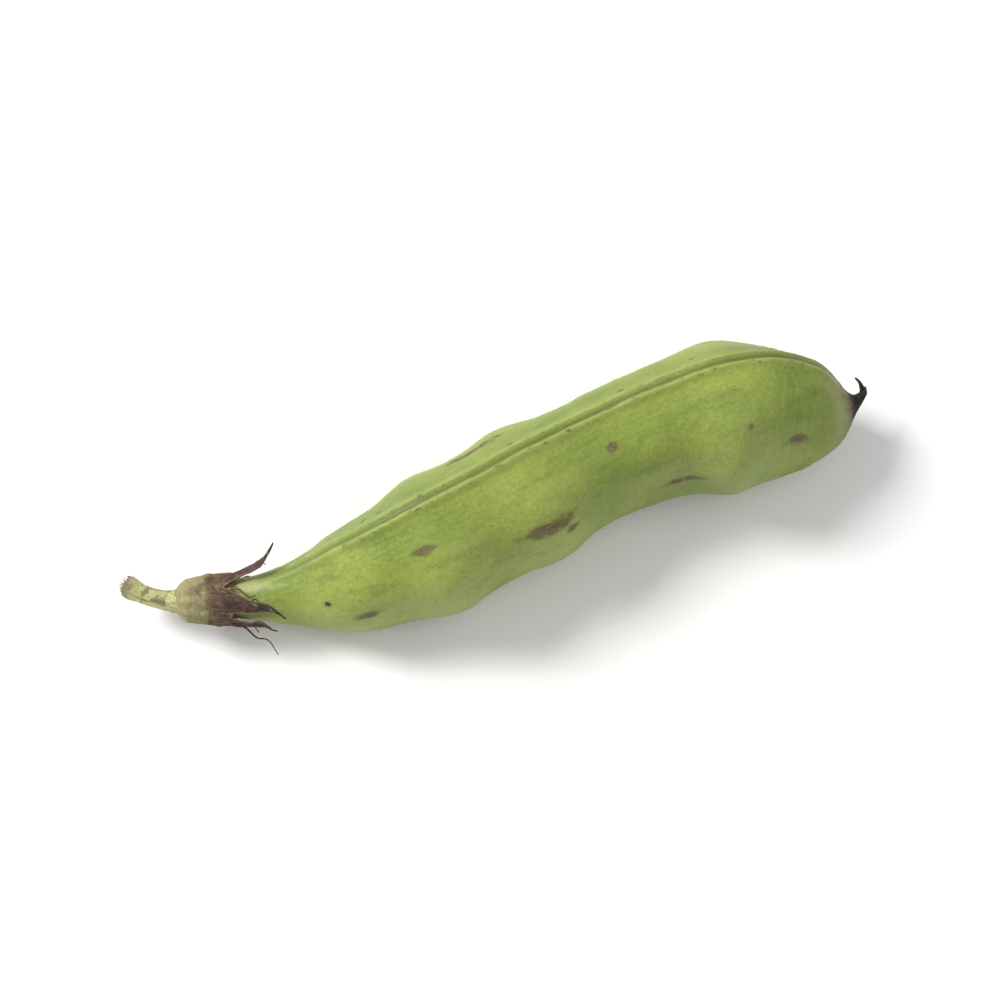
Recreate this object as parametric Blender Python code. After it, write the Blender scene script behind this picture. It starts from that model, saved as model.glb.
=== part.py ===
"""A broad bean pod with its withered calyx and its broken stalk, lying on a flat surface.

Metres, +Z up. The pod runs along +X from its stem end to its beak. Its ventral seam, where the
beans hang, is on the +Y side and turned up. The surface that it lies on is z = 0, and the origin
is at the middle of the whole object's box, on that surface.
"""

import math

import bmesh
import bpy
import numpy as np

# The pod's centreline in plan, as the control points of one smooth curve: a long, low S.
CENTRELINE = (
    (0.0000, 0.0000),
    (0.0241, -0.0050),
    (0.0482, -0.0165),
    (0.0722, 0.0205),
    (0.0963, 0.0015),
    (0.1204, 0.0000),
)

# Full width across the seams, against the share of the centreline's length from the neck.
WIDTH_STATIONS = (
    (0.000, 0.0054),
    (0.045, 0.0059),
    (0.085, 0.0074),
    (0.130, 0.0108),
    (0.180, 0.0152),
    (0.230, 0.0194),
    (0.290, 0.0232),
    (0.360, 0.0252),
    (0.440, 0.0258),
    (0.530, 0.0252),
    (0.620, 0.0248),
    (0.710, 0.0260),
    (0.790, 0.0268),
    (0.845, 0.0262),
    (0.885, 0.0236),
    (0.918, 0.0190),
    (0.942, 0.0142),
    (0.958, 0.0098),
    (0.969, 0.0064),
    (0.977, 0.0041),
    (0.983, 0.0028),
    (0.990, 0.0020),
    (1.000, 0.0013),
)

# Thickness through the two valves, as a share of the width.
THICKNESS_STATIONS = (
    (0.000, 1.00),
    (0.060, 0.97),
    (0.160, 0.94),
    (0.400, 0.92),
    (0.650, 0.91),
    (0.850, 0.90),
    (0.930, 0.92),
    (0.975, 0.97),
    (1.000, 1.00),
)

# How far the ventral seam is turned up from level, in degrees. The pod is a little twisted, and
# from above its seam shows about a third of the way across it.
ROLL_STATIONS = (
    (0.00, 48.0),
    (0.14, 58.0),
    (0.32, 66.0),
    (0.50, 68.0),
    (0.68, 67.0),
    (0.82, 62.0),
    (0.93, 54.0),
    (1.00, 48.0),
)

# How far the underside is clear of the surface: the neck and the beak stand off it.
RISE_STATIONS = (
    (0.000, 0.0062),
    (0.070, 0.0042),
    (0.170, 0.0008),
    (0.230, 0.0),
    (0.840, 0.0),
    (0.890, 0.0008),
    (0.945, 0.0040),
    (1.000, 0.0092),
)

# Beans: the share of the length where each lies, and how far it fills its chamber. Between them
# the valves sink by the pinch, a share of the size there, from the end of the neck to the beak.
# Each bean also raises a dome on both valves, measured from a level between the beans.
BEANS = ((0.20, 0.8), (0.35, 1.0), (0.50, 1.0), (0.645, 0.35), (0.79, 1.12))
BEAN_REACH = 0.066
PINCH_THICKNESS = 0.18
PINCH_WIDTH = 0.05
DOME_HEIGHT = 0.0010
DOME_REACH = 0.046
DOME_LEVEL = 0.5
NECK_ENDS = (0.06, 0.20)
BEAK_STARTS = (0.90, 0.97)

# The section is an egg: this much thicker towards the ventral side.
EGG = 0.06

# Seams: the valves meet in a broad, low crest on either side. The ventral one carries two ridges
# with a groove between them, the dorsal one a fine keel. They come near their full height where
# the pod is wider than this half-width, and ease into a fade below it, which is faster at the
# neck than at the beak.
VENTRAL_CREST_HEIGHT = 0.0014
VENTRAL_CREST_SPREAD = 0.0034
DORSAL_CREST_HEIGHT = 0.0006
DORSAL_CREST_SPREAD = 0.0026
VENTRAL_RIDGE_APART = 0.0021
VENTRAL_RIDGE_HEIGHT = 0.00065
DORSAL_KEEL_HEIGHT = 0.0005
RIDGE_SPREAD = 0.00062
RIDGE_FULL_AT = 0.009
RIDGE_EASE = 5.0
NECK_FADE = 2.0
BEAK_FADE = 1.0

# The underside is flattened where it rests.
SETTLE = 0.0006

# The beak's dried tip hooks upwards and towards +Y, from this share of the length on.
HOOK_FROM = 0.955
HOOK_ASIDE = 0.0026
HOOK_UP = 0.0014

# Rings of the mesh are closer at the pod's ends, and their points are closer at the seams.
POD_RINGS = 90
POD_AROUND = 42
END_CROWDING = 0.62
SEAM_CROWDING = 0.62
CURVE_SAMPLES = 801
SECTION_SAMPLES = 241

# Pieces that touch keep this gap.
GAP = 0.0003

# Calyx: distances along the pod from the neck's end, with how far the calyx's outside stands off
# the pod's own skin there. Before the neck's end the neck's own size is meant.
CALYX_STATIONS = (
    (-0.0018, 0.0004),
    (0.0000, 0.0011),
    (0.0035, 0.0014),
    (0.0075, 0.0014),
    (0.0170, 0.0012),
)
CALYX_BASE = -0.0018
CALYX_RIM = 0.0068
CALYX_WALL = 0.00065
CALYX_RIBS = 10
CALYX_RIB_HEIGHT = 0.00010
CALYX_ROWS = 14
CALYX_COLUMNS_PER_TOOTH = 10
TOOTH_SPREAD = 0.95
TOOTH_TAPER = 2.1
TOOTH_CURL = 1.8
FIRST_TOOTH_ANGLE = math.radians(54.0)

# Each tooth of the calyx: length, how far its tip bends outwards, how far it swings sideways.
CALYX_TEETH = (
    (0.0092, 0.0014, 0.0034),
    (0.0074, 0.0008, -0.0030),
    (0.0048, 0.0006, 0.0010),
    (0.0036, 0.0003, -0.0008),
    (0.0084, 0.0046, 0.0022),
)

# Stalk: its path bends towards +Y, and its ends are wider than its middle.
STALK_LENGTH = 0.0112
STALK_BEND = math.radians(38.0)
STALK_DROP = 0.0012
STALK_RADII = (
    (0.00, 0.00245),
    (0.07, 0.00245),
    (0.20, 0.00200),
    (0.36, 0.00158),
    (0.75, 0.00150),
    (0.93, 0.00182),
    (1.00, 0.00176),
)
STALK_RIBS = 5
STALK_RIB_HEIGHT = 0.00012
STALK_RIBS_START = (0.1, 0.4)
STALK_CUT_SLANT = 0.0007
STALK_CUT_FROM = 0.8
STALK_RINGS = 22
STALK_AROUND = 20

# Colour and roughness of each piece's skin.
POD_SKIN = ((0.25, 0.36, 0.075), 0.42)
CALYX_SKIN = ((0.085, 0.055, 0.040), 0.80)
STALK_SKIN = ((0.36, 0.37, 0.17), 0.60)


def clear_scene():
    for obj in list(bpy.data.objects):
        bpy.data.objects.remove(obj)


def smooth_value(stations, at):
    """The curve through the (place, value) stations at each place in `at`, with no overshoot."""
    places, values = np.array(stations).T
    steps = np.diff(places)
    slopes = np.diff(values) / steps
    before, after = slopes[:-1], slopes[1:]
    same_way = before * after > 0.0
    total = np.where(same_way, before + after, 1.0)
    inner = np.where(same_way, 2.0 * before * after / total, 0.0)
    tangents = np.concatenate([slopes[:1], inner, slopes[-1:]])
    at = np.asarray(at, float)
    k = np.clip(np.searchsorted(places, at, side="right") - 1, 0, len(steps) - 1)
    step = steps[k]
    t = (at - places[k]) / step
    start = (1.0 + 2.0 * t) * (1.0 - t) ** 2 * values[k] + t * (1.0 - t) ** 2 * step * tangents[k]
    end = t * t * (3.0 - 2.0 * t) * values[k + 1] + t * t * (t - 1.0) * step * tangents[k + 1]
    return start + end


def smooth_step(low, high, at):
    t = np.clip((at - low) / (high - low), 0.0, 1.0)
    return t * t * (3.0 - 2.0 * t)


def hump(at, spread):
    """1 at 0, falling smoothly to 0 over a few spreads either way."""
    return np.exp(-((at / spread) ** 2))


def bezier(controls, t):
    """Points at the parameters t on the Bezier curve with these control points."""
    degree = len(controls) - 1
    t = np.asarray(t, float)[..., None]
    return sum(
        math.comb(degree, i) * (1.0 - t) ** (degree - i) * t**i * np.array(control)
        for i, control in enumerate(controls)
    )


CURVE_T = np.linspace(0.0, 1.0, CURVE_SAMPLES)
CURVE_STEPS = np.diff(bezier(CENTRELINE, CURVE_T), axis=0)
CURVE_RUN = np.concatenate([[0.0], np.cumsum(np.linalg.norm(CURVE_STEPS, axis=1))])
CURVE_LENGTH = CURVE_RUN[-1]


def in_plan(share):
    """Point and direction in plan at a share of the centreline's length, straight before the neck."""
    share = np.asarray(share, float)
    t = np.interp(share * CURVE_LENGTH, CURVE_RUN, CURVE_T)
    slope = bezier(np.diff(CENTRELINE, axis=0), t)
    along = slope / np.linalg.norm(slope, axis=-1, keepdims=True)
    before = np.minimum(share, 0.0)[..., None] * CURVE_LENGTH
    return bezier(CENTRELINE, t) + before * along, along


def swelling(share, reach):
    """1 over a bean, falling towards 0 between beans."""
    return sum(fill * hump(share - place, reach) for place, fill in BEANS)


def section(share, angle, pinched):
    """Offsets towards the ventral side and up, before the roll. Angle 0 is the ventral seam."""
    half_width = smooth_value(WIDTH_STATIONS, share) / 2.0
    half_thickness = half_width * smooth_value(THICKNESS_STATIONS, share)
    in_body = smooth_step(*NECK_ENDS, share) * (1.0 - smooth_step(*BEAK_STARTS, share))
    slack = (1.0 - swelling(share, BEAN_REACH)) * in_body * pinched
    dome = DOME_HEIGHT * (swelling(share, DOME_REACH) - DOME_LEVEL) * in_body * pinched
    across = half_width * (1.0 - PINCH_WIDTH * slack) * np.cos(angle)
    up = half_thickness * np.sin(angle) * (1.0 + EGG * np.cos(angle) * in_body)
    up = up * (1.0 - PINCH_THICKNESS * slack * np.sin(angle) ** 2) + dome * np.sin(angle)
    return across, up


def rolled(share, across, up):
    roll = np.radians(smooth_value(ROLL_STATIONS, share))
    return across * np.cos(roll) - up * np.sin(roll), across * np.sin(roll) + up * np.cos(roll)


def centre_height(share):
    """Height of the centreline that leaves the underside at its rise, less what it settles."""
    share = np.asarray(share, float)
    angle = np.linspace(0.0, 2.0 * math.pi, SECTION_SAMPLES)
    within = np.clip(share, 0.0, 1.0)[..., None]
    lowest = rolled(within, *section(within, angle, 0.0))[1].min(axis=-1)
    return smooth_value(RISE_STATIONS, within[..., 0]) - SETTLE - lowest


def seam_relief(share, up, ventral):
    """How far the seam's crest and ridges stand out, by the distance up or down from the seam."""
    wide = smooth_value(WIDTH_STATIONS, share) / 2.0 / RIDGE_FULL_AT
    size = wide / (1.0 + wide**RIDGE_EASE) ** (1.0 / RIDGE_EASE)
    apart = VENTRAL_RIDGE_APART / 2.0
    pair = hump(up - apart, RIDGE_SPREAD) + hump(up + apart, RIDGE_SPREAD)
    crest = VENTRAL_CREST_HEIGHT * hump(up, VENTRAL_CREST_SPREAD)
    low_crest = DORSAL_CREST_HEIGHT * hump(up, DORSAL_CREST_SPREAD)
    keel = DORSAL_KEEL_HEIGHT * hump(up, RIDGE_SPREAD)
    relief = np.where(ventral, crest + VENTRAL_RIDGE_HEIGHT * pair, low_crest + keel)
    return relief * size ** (NECK_FADE + (BEAK_FADE - NECK_FADE) * share)


def placed(share, across, up):
    """Points in space from offsets off the centreline, with the beak's tip hooked."""
    point, along = in_plan(share)
    hook = (np.clip(share - HOOK_FROM, 0.0, None) / (1.0 - HOOK_FROM)) ** 2
    shape = np.broadcast_shapes(np.shape(across), point.shape[:-1])
    across = np.broadcast_to(across, shape) + HOOK_ASIDE * hook
    up = np.broadcast_to(up, shape) + HOOK_UP * hook
    x = point[..., 0] - along[..., 1] * across
    y = point[..., 1] + along[..., 0] * across
    return np.stack([x, y, centre_height(share) + up], axis=-1)


def pod_points():
    """Rings from the neck to the tip of the beak, flat where they would reach below the surface."""
    u = np.linspace(0.0, 1.0, POD_RINGS)[:, None]
    share = u - END_CROWDING * np.sin(2.0 * math.pi * u) / (2.0 * math.pi)
    turn = 2.0 * math.pi * np.arange(POD_AROUND) / POD_AROUND
    angle = turn - SEAM_CROWDING * np.sin(2.0 * turn) / 2.0
    across, up = section(share, angle, 1.0)
    ventral = np.cos(angle) > 0.0
    relief = seam_relief(share, up, ventral)
    across = across + np.where(ventral, relief, -relief)
    points = placed(share, *rolled(share, across, up))
    points[..., 2] = np.maximum(points[..., 2], 0.0)
    return points


def off_skin(distance, angle, off):
    """Points that stand off the pod's skin, at distances along it from the neck's end."""
    share = distance / CURVE_LENGTH
    across, up = section(np.clip(share, 0.0, 1.0), angle, 1.0)
    grown = 1.0 + off / np.hypot(across, up)
    return placed(share, *rolled(np.clip(share, 0.0, 1.0), across * grown, up * grown))


def calyx_points():
    """A grid closed both ways: up the outside from the base to the rim, and back down the inside."""
    teeth = len(CALYX_TEETH)
    columns = teeth * CALYX_COLUMNS_PER_TOOTH
    turn = np.arange(columns) / CALYX_COLUMNS_PER_TOOTH
    nearest = np.round(turn).astype(int) % teeth
    off_centre = np.abs(turn - np.round(turn)) * 2.0
    tooth = np.array(CALYX_TEETH)[nearest]
    point = np.clip(1.0 - off_centre / TOOTH_SPREAD, 0.0, 1.0) ** TOOTH_TAPER
    height = CALYX_RIM - CALYX_BASE + tooth[:, 0] * point
    distance = CALYX_BASE + np.linspace(0.0, 1.0, CALYX_ROWS)[:, None] * height
    bend = (np.clip(distance - CALYX_RIM, 0.0, None) / tooth[:, 0]) ** TOOTH_CURL
    angle = FIRST_TOOTH_ANGLE + 2.0 * math.pi * turn / teeth
    rib = CALYX_RIB_HEIGHT * np.cos(CALYX_RIBS * (angle - FIRST_TOOTH_ANGLE))
    off = smooth_value(CALYX_STATIONS, distance) + rib + tooth[:, 1] * bend
    half_width = smooth_value(WIDTH_STATIONS, np.clip(distance / CURVE_LENGTH, 0.0, 1.0)) / 2.0
    angle = angle + tooth[:, 2] * bend / (half_width + off)
    slope = np.gradient(half_width + off, axis=0) / np.gradient(distance, axis=0)
    inward = CALYX_WALL / np.hypot(1.0, slope)
    outside = off_skin(distance, angle, off)
    inside = off_skin(distance + slope * inward, angle, off - inward * (1.0 + slope**2))
    return np.concatenate([outside, inside[::-1]])


def stalk_points():
    """Rings along a path that leaves the neck backwards and bends towards +Y."""
    start, along = in_plan(0.0)
    u = np.linspace(0.0, 1.0, STALK_RINGS)
    heading = math.atan2(-along[1], -along[0]) - STALK_BEND * u
    step = (STALK_LENGTH - GAP) / (STALK_RINGS - 1)
    way = np.stack([np.cos(heading), np.sin(heading)], axis=1)
    run = np.concatenate([[[0.0, 0.0]], np.cumsum((way[1:] + way[:-1]) / 2.0 * step, axis=0)])
    centre = start - along * GAP + run
    height = centre_height(0.0) - STALK_DROP * u**2
    turn = 2.0 * math.pi * np.arange(STALK_AROUND) / STALK_AROUND
    rib = STALK_RIB_HEIGHT * np.cos(STALK_RIBS * turn) * smooth_step(*STALK_RIBS_START, u)[:, None]
    radius = smooth_value(STALK_RADII, u)[:, None] + rib
    slant = STALK_CUT_SLANT * np.sin(turn) * smooth_step(STALK_CUT_FROM, 1.0, u)[:, None]
    across = radius * np.cos(turn)
    x = centre[:, :1] - way[:, 1:] * across + way[:, :1] * slant
    y = centre[:, 1:] + way[:, :1] * across + way[:, 1:] * slant
    return np.stack([x, y, height[:, None] + radius * np.sin(turn)], axis=-1)


def solid_from_grid(name, points, capped):
    """A closed mesh object from rings of points: capped at both ends, or joined end to end."""
    mesh = bmesh.new()
    rings = [[mesh.verts.new(point) for point in ring] for ring in points]
    around = len(rings[0])
    pairs = list(zip(rings, rings[1:]))
    if not capped:
        pairs.append((rings[-1], rings[0]))
    for first, second in pairs:
        for i in range(around):
            j = (i + 1) % around
            mesh.faces.new((first[i], first[j], second[j], second[i]))
    if capped:
        for ring in (rings[0], rings[-1]):
            middle = mesh.verts.new(np.mean([vert.co for vert in ring], axis=0))
            for i in range(around):
                mesh.faces.new((ring[i], ring[(i + 1) % around], middle))
    bmesh.ops.recalc_face_normals(mesh, faces=mesh.faces)
    data = bpy.data.meshes.new(name)
    mesh.to_mesh(data)
    mesh.free()
    data.shade_smooth()
    obj = bpy.data.objects.new(name, data)
    bpy.context.scene.collection.objects.link(obj)
    return obj


def plain_material(name, colour, roughness):
    material = bpy.data.materials.new(name)
    material.use_nodes = True
    shader = material.node_tree.nodes["Principled BSDF"]
    shader.inputs["Base Color"].default_value = (*colour, 1.0)
    shader.inputs["Roughness"].default_value = roughness
    shader.inputs["Metallic"].default_value = 0.0
    return material


def make_pod():
    obj = solid_from_grid("pod", pod_points(), capped=True)
    obj.data.materials.append(plain_material("pod_skin", *POD_SKIN))
    return obj


def make_calyx():
    obj = solid_from_grid("calyx", calyx_points(), capped=False)
    obj.data.materials.append(plain_material("withered_calyx", *CALYX_SKIN))
    return obj


def make_stalk():
    obj = solid_from_grid("stalk", stalk_points(), capped=True)
    obj.data.materials.append(plain_material("stalk_skin", *STALK_SKIN))
    return obj


def centre_on_origin(pieces):
    """Hangs the pieces on one empty, and moves it so that their box stands centred on the origin."""
    corners = np.array([vert.co[:] for piece in pieces for vert in piece.data.vertices])
    low, high = corners.min(axis=0), corners.max(axis=0)
    middle = (low + high) / 2.0
    holder = bpy.data.objects.new("broad_bean_pod", None)
    bpy.context.scene.collection.objects.link(holder)
    holder.location = (-middle[0], -middle[1], -low[2])
    for piece in pieces:
        piece.parent = holder


def main():
    clear_scene()
    centre_on_origin([make_pod(), make_calyx(), make_stalk()])


main()
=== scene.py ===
"""A fresh broad bean pod with its withered calyx and broken stalk, lying on a pale floor.

Metres, +Z up. The three solids of the model are replaced by fine meshes made from the same
formulas: the pod's skin with its beans, seams, veins and scars, the crinkled calyx, and the
ribbed stalk with its torn end. Withered threads and the beak's dried style are added.
"""

import math

import bpy
import numpy as np
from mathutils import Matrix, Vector, noise


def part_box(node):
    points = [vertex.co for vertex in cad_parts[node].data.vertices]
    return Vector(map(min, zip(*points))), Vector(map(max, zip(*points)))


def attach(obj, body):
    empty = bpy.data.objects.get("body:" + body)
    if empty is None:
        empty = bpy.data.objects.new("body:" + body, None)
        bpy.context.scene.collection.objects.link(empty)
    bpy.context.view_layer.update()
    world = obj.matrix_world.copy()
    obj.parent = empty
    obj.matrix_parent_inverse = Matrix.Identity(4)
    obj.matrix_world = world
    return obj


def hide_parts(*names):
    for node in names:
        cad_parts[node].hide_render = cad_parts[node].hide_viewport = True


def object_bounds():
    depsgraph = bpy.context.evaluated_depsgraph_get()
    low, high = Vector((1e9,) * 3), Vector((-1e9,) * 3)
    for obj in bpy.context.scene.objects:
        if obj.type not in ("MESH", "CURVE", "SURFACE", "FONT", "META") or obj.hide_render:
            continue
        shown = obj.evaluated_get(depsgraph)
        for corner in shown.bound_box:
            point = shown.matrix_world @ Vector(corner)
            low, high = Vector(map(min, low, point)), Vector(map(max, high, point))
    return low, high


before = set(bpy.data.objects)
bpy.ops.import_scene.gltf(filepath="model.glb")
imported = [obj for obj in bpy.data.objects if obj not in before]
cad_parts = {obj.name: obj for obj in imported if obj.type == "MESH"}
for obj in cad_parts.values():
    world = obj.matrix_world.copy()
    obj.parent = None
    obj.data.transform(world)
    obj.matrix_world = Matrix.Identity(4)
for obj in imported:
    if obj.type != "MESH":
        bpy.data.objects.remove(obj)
CAD_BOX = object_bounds()

# The pod's centreline in plan, as the control points of one smooth curve: a long, low S.
CENTRELINE = (
    (0.0000, 0.0000),
    (0.0241, -0.0050),
    (0.0482, -0.0165),
    (0.0722, 0.0205),
    (0.0963, 0.0015),
    (0.1204, 0.0000),
)

# Full width across the seams, against the share of the centreline's length from the neck.
WIDTH_STATIONS = (
    (0.000, 0.0054),
    (0.045, 0.0059),
    (0.085, 0.0074),
    (0.130, 0.0108),
    (0.180, 0.0152),
    (0.230, 0.0194),
    (0.290, 0.0232),
    (0.360, 0.0252),
    (0.440, 0.0258),
    (0.530, 0.0252),
    (0.620, 0.0248),
    (0.710, 0.0260),
    (0.790, 0.0268),
    (0.845, 0.0262),
    (0.885, 0.0236),
    (0.918, 0.0190),
    (0.942, 0.0142),
    (0.958, 0.0098),
    (0.969, 0.0064),
    (0.977, 0.0041),
    (0.983, 0.0028),
    (0.990, 0.0020),
    (1.000, 0.0013),
)

# Thickness through the two valves, as a share of the width.
THICKNESS_STATIONS = (
    (0.000, 1.00),
    (0.060, 0.97),
    (0.160, 0.94),
    (0.400, 0.92),
    (0.650, 0.91),
    (0.850, 0.90),
    (0.930, 0.92),
    (0.975, 0.97),
    (1.000, 1.00),
)

# How far the ventral seam is turned up from level, in degrees: the pod is a little twisted.
ROLL_STATIONS = (
    (0.00, 48.0),
    (0.14, 58.0),
    (0.32, 66.0),
    (0.50, 68.0),
    (0.68, 67.0),
    (0.82, 62.0),
    (0.93, 54.0),
    (1.00, 48.0),
)

# How far the underside is clear of the surface: the neck and the beak stand off it.
RISE_STATIONS = (
    (0.000, 0.0062),
    (0.070, 0.0042),
    (0.170, 0.0008),
    (0.230, 0.0),
    (0.840, 0.0),
    (0.890, 0.0008),
    (0.945, 0.0040),
    (1.000, 0.0092),
)

# Beans: the share of the length where each lies, and how far it fills its chamber. Between them
# the valves sink by the pinch, and each bean raises a dome on both valves.
BEANS = ((0.20, 0.8), (0.35, 1.0), (0.50, 1.0), (0.645, 0.35), (0.79, 1.12))
BEAN_REACH = 0.066
PINCH_THICKNESS = 0.18
PINCH_WIDTH = 0.05
DOME_HEIGHT = 0.0010
DOME_REACH = 0.046
DOME_LEVEL = 0.5
NECK_ENDS = (0.06, 0.20)
BEAK_STARTS = (0.90, 0.97)
EGG = 0.06

# Seams: a broad, low crest on either side. The ventral one carries two ridges with a groove
# between them, the dorsal one a fine keel. All fade where the pod's half-width is less than
# RIDGE_FULL_AT, and fade faster at the neck than at the beak.
VENTRAL_CREST_HEIGHT = 0.0014
VENTRAL_CREST_SPREAD = 0.0034
DORSAL_CREST_HEIGHT = 0.0006
DORSAL_CREST_SPREAD = 0.0026
VENTRAL_RIDGE_APART = 0.0021
VENTRAL_RIDGE_HEIGHT = 0.00065
DORSAL_KEEL_HEIGHT = 0.0005
RIDGE_SPREAD = 0.00062
RIDGE_FULL_AT = 0.009
RIDGE_EASE = 5.0
NECK_FADE = 2.0
BEAK_FADE = 1.0
GROOVE_SPREAD = 0.0005

# Painted shade: a darker band beside the ventral seam, on the side away from the camera, with dark
# dots.
BAND_FROM_SEAM = -0.0040
BAND_SPREAD = 0.0030

# The underside is flattened where it rests.
SETTLE = 0.0006

# The beak's dried tip hooks upwards and towards +Y, from this share of the length on.
HOOK_FROM = 0.955
HOOK_ASIDE = 0.0026
HOOK_UP = 0.0014

# How much the points of a ring gather at the seams, and how finely the curve and its sections
# are sampled.
SEAM_CROWDING = 0.62
CURVE_SAMPLES = 801
SECTION_SAMPLES = 241

# The solid's grid, which gives the place of these formulas in the frame, and the fine skin's.
SOLID_RINGS = 90
SOLID_AROUND = 42
SOLID_CROWDING = 0.62
SKIN_RINGS = 384
SKIN_AROUND = 248
SKIN_CROWDING = 0.36

# Height under which the skin is pressed softly flat by the floor.
PRESS = 0.00007

# The margin of each piece's map, in which the middles of its caps lie.
MAP_EDGE = 0.01

# Relief of the skin: how high each kind stands, and the size of its features. All of it is
# weaker where the pod is narrow, and veins, creases and fibres fade towards the seams.
RELIEF_FULL_WIDTH = 0.010
RELIEF_LEAST = 0.15
VALVE_STARTS = (0.0012, 0.0050)
LUMP_HEIGHT = 0.00040
LUMP_SIZE = 0.0130
LUMPS_AT_ENDS = 0.25
DIMPLE_HEIGHT = 0.00010
DIMPLE_SIZE = 0.0036
VEIN_HEIGHT = 0.000024
VEIN_SIZE = (0.0030, 0.0021, 0.0021)
VEIN_WIDTH = 0.26
VEIN_WARP = 0.0010
VEIN_WARP_SIZE = 0.004
CREASE_HEIGHT = 0.00013
CREASE_SIZE = (0.0016, 0.0075, 0.0075)
CREASE_WIDTH = 0.16
FIBRE_HEIGHT = 0.00005
FIBRE_APART = 0.00085
FIBRE_REACH = 0.0042
SHRIVEL_HEIGHT = 0.00016
SHRIVEL_FOLDS = 11
SHRIVEL_NECK = (0.04, 0.15)
SHRIVEL_BEAK = (0.925, 0.965)
SHRIVEL_AT_BEAK = 0.6
SHRIVEL_SWING = 2.2
SHRIVEL_SWING_SIZE = 0.006

# Scars that have dried brown, a little sunk into the skin: the share of the length and the angle
# where each lies, its reach along and across the pod, and how dark it is.
SCARS = (
    (0.235, math.radians(84.0), 0.0017, 0.0006, 0.70),
    (0.330, math.radians(34.0), 0.0014, 0.0006, 0.85),
    (0.455, math.radians(-32.0), 0.0042, 0.0007, 0.75),
    (0.492, math.radians(64.0), 0.0034, 0.0010, 0.92),
    (0.522, math.radians(76.0), 0.0009, 0.0005, 0.80),
    (0.618, math.radians(30.0), 0.0008, 0.0006, 0.80),
    (0.705, math.radians(92.0), 0.0030, 0.0006, 0.72),
    (0.812, math.radians(50.0), 0.0006, 0.0005, 0.80),
    (0.884, math.radians(80.0), 0.0015, 0.0008, 0.80),
    (0.300, math.radians(150.0), 0.0034, 0.0011, 0.90),
    (0.410, math.radians(205.0), 0.0050, 0.0016, 0.95),
    (0.570, math.radians(262.0), 0.0026, 0.0009, 0.85),
    (0.660, math.radians(160.0), 0.0018, 0.0012, 0.90),
    (0.780, math.radians(228.0), 0.0045, 0.0010, 0.85),
    (0.850, math.radians(290.0), 0.0014, 0.0010, 0.80),
)
SCAR_DEPTH = 0.00007
SCAR_SINKS = (0.35, 0.7)
SCAR_RAG = 0.95
SCAR_RAG_SIZE = (0.0022, 0.0010, 0.0010)

# Calyx: distances along the pod from the neck's end, with how far the calyx's outside stands off
# the pod's own skin there. Its foot closes in on the stalk.
CALYX_STATIONS = (
    (-0.0022, -0.0006),
    (-0.0014, 0.0003),
    (-0.0004, 0.0010),
    (0.0035, 0.0014),
    (0.0075, 0.0014),
    (0.0170, 0.0012),
)
CALYX_BASE = -0.0022
CALYX_RIM = 0.0068
CALYX_WALL = 0.00050
CALYX_EDGE_WALL = 0.00024
CALYX_LEAST_OFF = 0.00012
CALYX_RIBS = 10
CALYX_RIB_HEIGHT = 0.00014
CALYX_ROWS = 96
CALYX_COLUMNS_PER_TOOTH = 72
CALYX_CRUMPLE = 0.00042
CALYX_CRUMPLE_SIZE = (0.0036, 0.0021, 0.0021)
CALYX_CRINKLE = 0.00016
CALYX_CRINKLE_SIZE = (0.0014, 0.0006, 0.0006)
CALYX_RAG = 0.0013
CALYX_RAG_SIZE = 0.0015
CALYX_RAG_RADIUS = 0.006

# Shares of the way up the calyx over which it comes loose, grows thin, and pales at its torn rim.
CALYX_LOOSE = (0.12, 0.6)
CALYX_THINS = (0.5, 1.0)
CALYX_MARGIN = (0.93, 1.0)

# The calyx's teeth: how wide each is, how it narrows and curls, and where the first one stands.
TOOTH_SPREAD = 0.95
TOOTH_TAPER = 2.1
TOOTH_CURL = 1.8
TOOTH_SWAY = 0.0011
FIRST_TOOTH_ANGLE = math.radians(54.0)

# Each tooth of the calyx: length, how far its tip bends outwards, how far it swings sideways.
CALYX_TEETH = (
    (0.0092, 0.0014, 0.0034),
    (0.0074, 0.0008, -0.0030),
    (0.0048, 0.0006, 0.0010),
    (0.0036, 0.0003, -0.0008),
    (0.0084, 0.0046, 0.0022),
)

# Withered threads at the calyx: the distance along the pod and the angle where each starts, its
# length, how far its end stands off, how far it swings sideways, and its waves.
THREADS = (
    (0.0052, math.radians(118.0), 0.0105, 0.0042, 0.0030, 2.2),
    (0.0058, math.radians(-52.0), 0.0085, 0.0026, -0.0030, 1.6),
    (0.0050, math.radians(232.0), 0.0070, 0.0022, 0.0024, 1.3),
    (0.0060, math.radians(18.0), 0.0068, 0.0026, 0.0038, 1.4),
    (0.0048, math.radians(84.0), 0.0086, 0.0008, -0.0030, 1.9),
    (0.0056, math.radians(172.0), 0.0064, 0.0016, -0.0022, 1.1),
)
THREAD_RADIUS = 0.00024
THREAD_TAPER = 0.72
THREAD_FROM_SKIN = 0.0007
THREAD_SHORTENS = 0.18
THREAD_LIFT_POWER = 1.4
THREAD_SWING_POWER = 1.5
THREAD_WAVE = 0.0007
THREAD_WAVE_TURN = 1.3
THREAD_KNOTS = 0.30
THREAD_KNOT_SIZE = 0.0006
THREAD_KNOT_RADIUS = 0.0004
THREAD_RINGS = 60
THREAD_SIDES = 14

# The threads' tones by turns, from the calyx's straw at 0 to its black at 1, and how much darker
# their ends are.
THREAD_TONES = (0.55, 0.20)
THREAD_DARKENS = 0.45

# The dried style, from inside the beak's tip on: its length, how far and which way it curls, and
# how thick it is at first. It tapers as the threads do.
STYLE_LENGTH = 0.0046
STYLE_CURL = math.radians(95.0)
STYLE_CURL_POWER = 1.2
STYLE_TOWARDS = (0.1, 0.85, 0.5)
STYLE_RADIUS = 0.00062
STYLE_FROM = 0.988

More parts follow.
